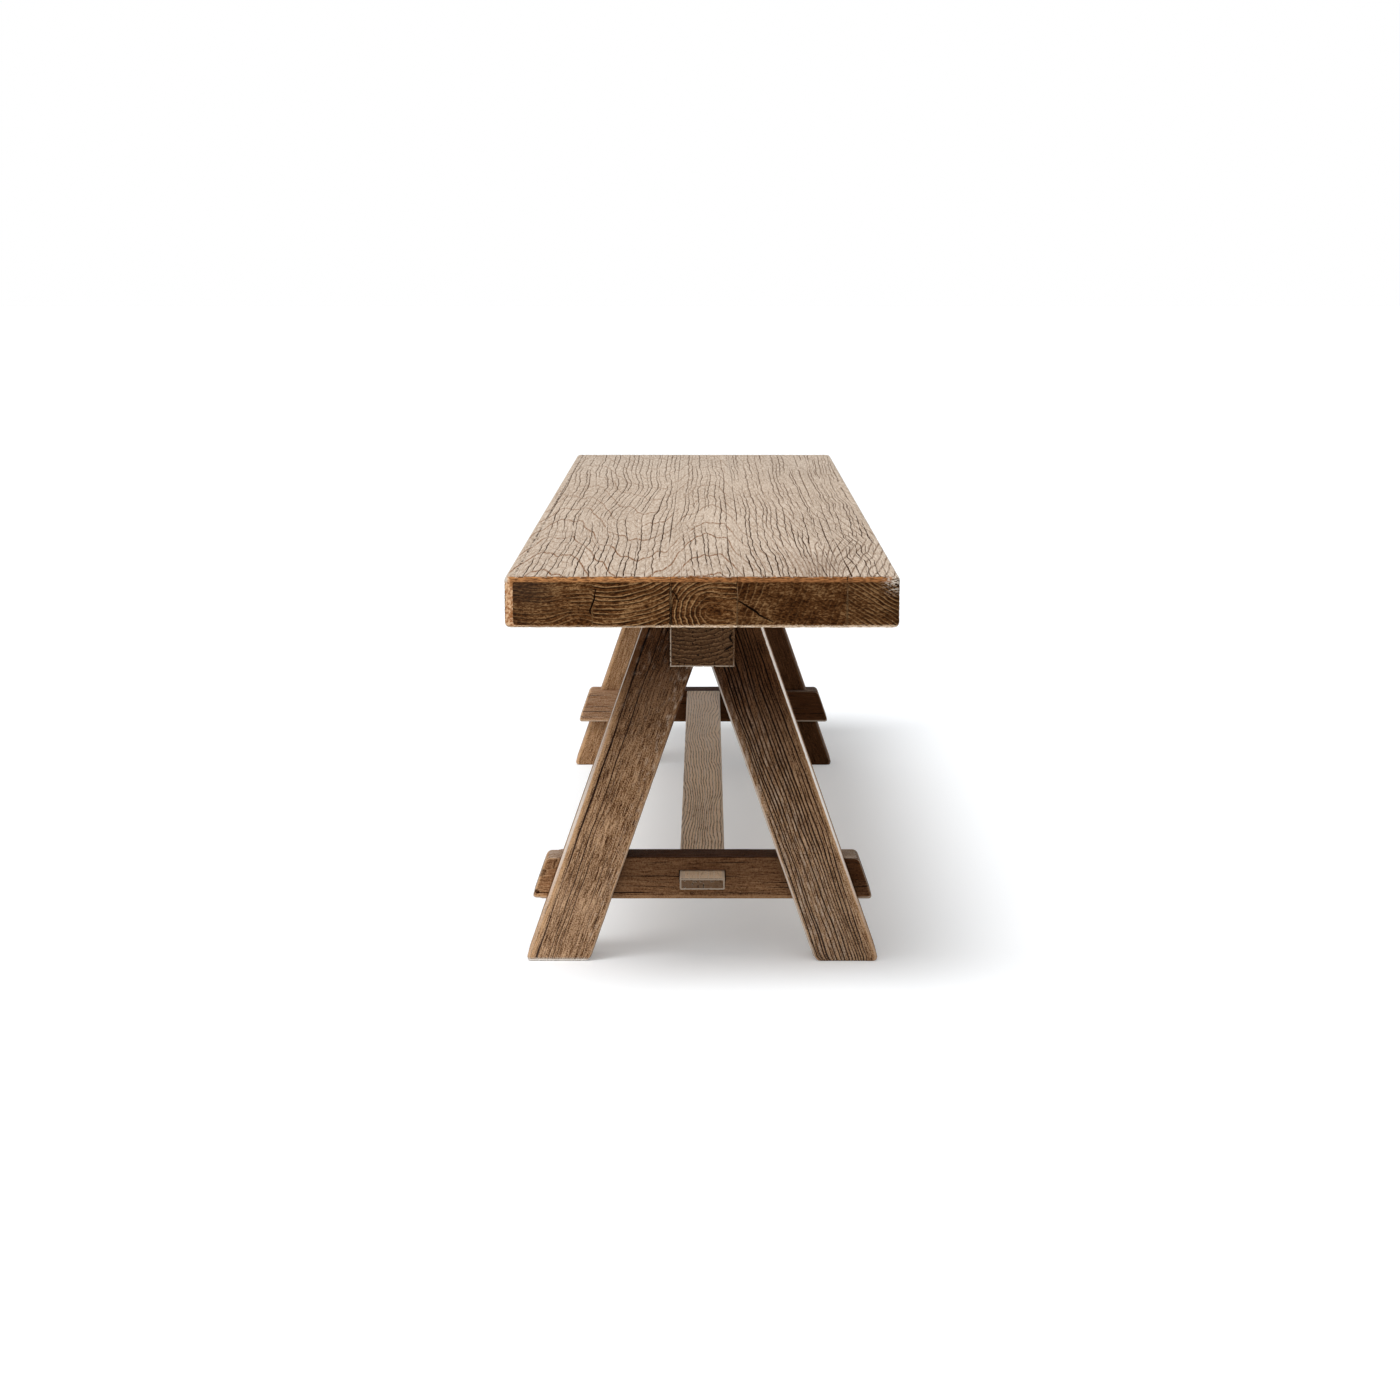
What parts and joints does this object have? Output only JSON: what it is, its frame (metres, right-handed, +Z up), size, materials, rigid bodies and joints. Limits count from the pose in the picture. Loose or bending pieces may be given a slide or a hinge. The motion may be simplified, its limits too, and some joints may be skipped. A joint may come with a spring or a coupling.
{
  "type": "trestle bench",
  "caption": "Reclaimed-timber trestle bench: a thick plank seat on A-frame legs with lapped cross rails, a ridge beam and a low stretcher with through tenons.",
  "frame": {"origin": "on the floor, under the middle of the seat (centre of the bounding box's bottom)", "axes": "+Z up, Y along the bench with the near end at -Y, X across the bench"},
  "size_m": [0.404, 1.63, 0.457],
  "materials": {
    "seat_wood": "weathered, waxed, matt",
    "frame_wood": "brushed, dark waxed",
    "stretcher_wood": "weathered, matt",
    "dowel_wood": "plain beech",
    "screw_steel": "zinc plated"
  },
  "bodies": {
    "root": {"seat_board_left": "seat_wood", "seat_board_inner_left": "seat_wood", "seat_board_inner_right": "seat_wood", "seat_board_right": "seat_wood", "seat_tongue_left": "dowel_wood", "seat_tongue_centre": "dowel_wood", "seat_tongue_right": "dowel_wood", "near_leg_left": "frame_wood", "near_leg_right": "frame_wood", "far_leg_left": "frame_wood", "far_leg_right": "frame_wood", "near_cross_rail": "frame_wood", "far_cross_rail": "frame_wood", "stretcher": "stretcher_wood", "ridge_beam": "frame_wood", "leg_head_dowels": "dowel_wood", "lap_dowels": "dowel_wood", "tenon_pegs": "dowel_wood", "seat_screw_washers": "screw_steel", "seat_screws": "screw_steel"}
  },
  "joints": []
}
